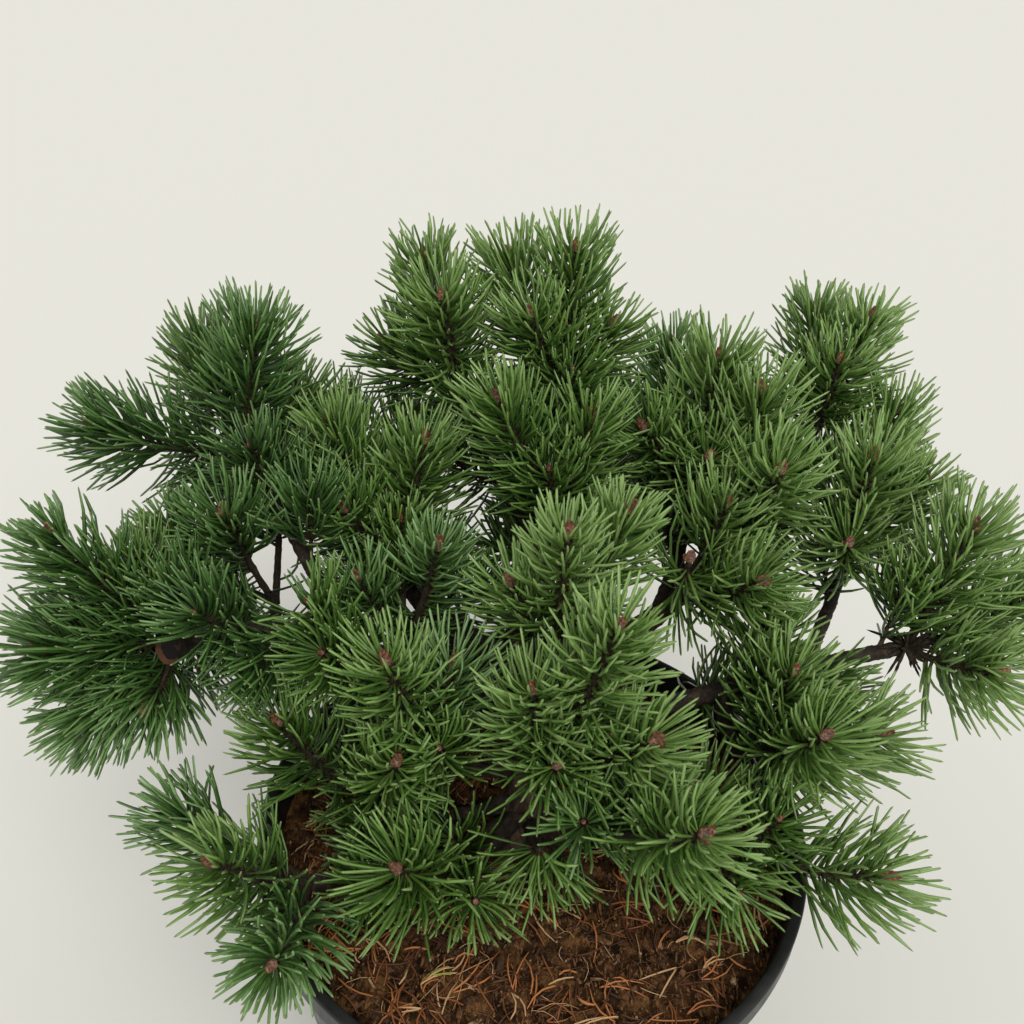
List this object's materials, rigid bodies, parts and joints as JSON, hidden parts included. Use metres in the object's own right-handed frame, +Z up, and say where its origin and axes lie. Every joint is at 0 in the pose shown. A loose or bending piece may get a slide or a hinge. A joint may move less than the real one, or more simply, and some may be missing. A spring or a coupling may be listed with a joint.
{
  "type": "mugo pine in a nursery pot",
  "caption": "Low spreading mugo pine with upturned shoots of paired needles, growing in a round black nursery pot filled with soil.",
  "frame": {"origin": "middle of the flat underside of the pot, on the surface that it stands on", "axes": "+Z up; -Y is the front, where the crown opens and the soil shows; +X is to the right seen from the front"},
  "size_m": [0.5347, 0.4264, 0.449],
  "materials": {
    "pot": "moulded black plastic, satin with a paler worn lip",
    "soil": "dark peat and bark mulch with dry orange-brown needles on it",
    "bark": "dark grey-brown bark, rough with old needle scars",
    "needles": "mid green needles with a soft sheen, brown twigs and reddish brown buds"
  },
  "bodies": {
    "root": {"pot": "pot", "soil": "soil", "trunk": "bark", "bough_crown_back": "bark", "bough_right_far": "bark", "bough_left_far": "bark", "bough_left_back": "bark", "bough_left_upper": "bark", "bough_low_left": "bark", "bough_low_front": "bark", "bough_front_left": "bark", "bough_front_mid": "bark", "bough_front_drop": "bark", "bough_crown_left": "bark", "bough_upper_left": "bark", "bough_centre_left": "bark", "bough_centre_top": "bark", "bough_right_back": "bark", "bough_right_inner": "bark", "bough_crown_right": "bark", "bough_right_mid": "bark", "bough_centre_right": "bark", "bough_front_right": "bark", "bough_low_right": "bark", "bough_front_low": "bark", "bough_front_centre": "bark", "bough_centre_mid": "bark", "bough_back_left": "bark", "bough_back_middle": "bark", "bough_back_right": "bark", "needles_crown_back": "needles", "needles_right_far": "needles", "needles_left_far": "needles", "needles_left_back": "needles", "needles_left_upper": "needles", "needles_low_left": "needles", "needles_low_front": "needles", "needles_front_left": "needles", "needles_front_mid": "needles", "needles_front_drop": "needles", "needles_crown_left": "needles", "needles_upper_left": "needles", "needles_centre_left": "needles", "needles_centre_top": "needles", "needles_right_back": "needles", "needles_right_inner": "needles", "needles_crown_right": "needles", "needles_right_mid": "needles", "needles_centre_right": "needles", "needles_front_right": "needles", "needles_low_right": "needles", "needles_front_low": "needles", "needles_front_centre": "needles", "needles_centre_mid": "needles", "needles_back_left": "needles", "needles_back_middle": "needles", "needles_back_right": "needles"}
  },
  "joints": []
}
